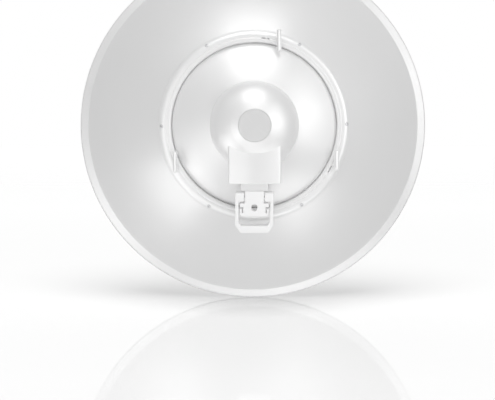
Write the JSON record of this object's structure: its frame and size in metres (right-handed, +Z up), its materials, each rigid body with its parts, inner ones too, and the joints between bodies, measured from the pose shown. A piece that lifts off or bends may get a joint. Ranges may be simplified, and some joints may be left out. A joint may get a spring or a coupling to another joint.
{
  "type": "dish antenna",
  "caption": "Deep parabolic dish antenna with a rear mounting collar, domed hub, half-round port housing, hinged latch bail and a central feed.",
  "frame": {"origin": "on the collar's flat land, at its top, straight above the dish axis", "axes": "+Y is the way the dish looks, its rounded back faces -Y, +Z up, +X to the right seen from behind; the dish axis lies 0.15065 m below the origin"},
  "size_m": [0.65, 0.2956, 0.65],
  "materials": {
    "reflector_paint": "satin white powder coat on sheet metal",
    "collar_plastic": "satin white moulded plastic",
    "hub_plastic": "satin white moulded plastic",
    "cap_plastic": "satin white moulded plastic, bare",
    "latch_plastic": "satin white moulded plastic",
    "pin_paint": "satin white powder coat on turned pins",
    "pin_steel": "bright turned steel",
    "screw_steel": "bright zinc-plated steel",
    "feed_plastic": "satin white moulded plastic",
    "feed_metal": "turned aluminium"
  },
  "bodies": {
    "antenna": {"reflector": "reflector_paint", "collar": "collar_plastic", "collar_screw_1": "screw_steel", "collar_screw_2": "screw_steel", "collar_screw_3": "screw_steel", "collar_screw_4": "screw_steel", "collar_screw_5": "screw_steel", "collar_screw_6": "screw_steel", "collar_pin_top": "pin_paint", "collar_pin_left": "pin_paint", "collar_pin_right": "pin_paint", "hub_housing": "hub_plastic", "hub_cap": "cap_plastic", "port_housing": "hub_plastic", "latch_neck": "hub_plastic", "latch_tongue": "latch_plastic", "bail_pin": "pin_steel", "feed_flange": "feed_plastic", "feed_tube": "feed_plastic", "feed_cone": "feed_plastic", "sub_reflector": "feed_metal", "feed_cap": "feed_plastic"},
    "bail": {"bail": "latch_plastic"}
  },
  "joints": [
    {"name": "bail_hinge", "type": "hinge", "parent": "antenna", "child": "bail", "pos_m": [0, -0.0403, -0.27165], "axis": [-1, 0, 0], "range_deg": [0, 90]}
  ]
}
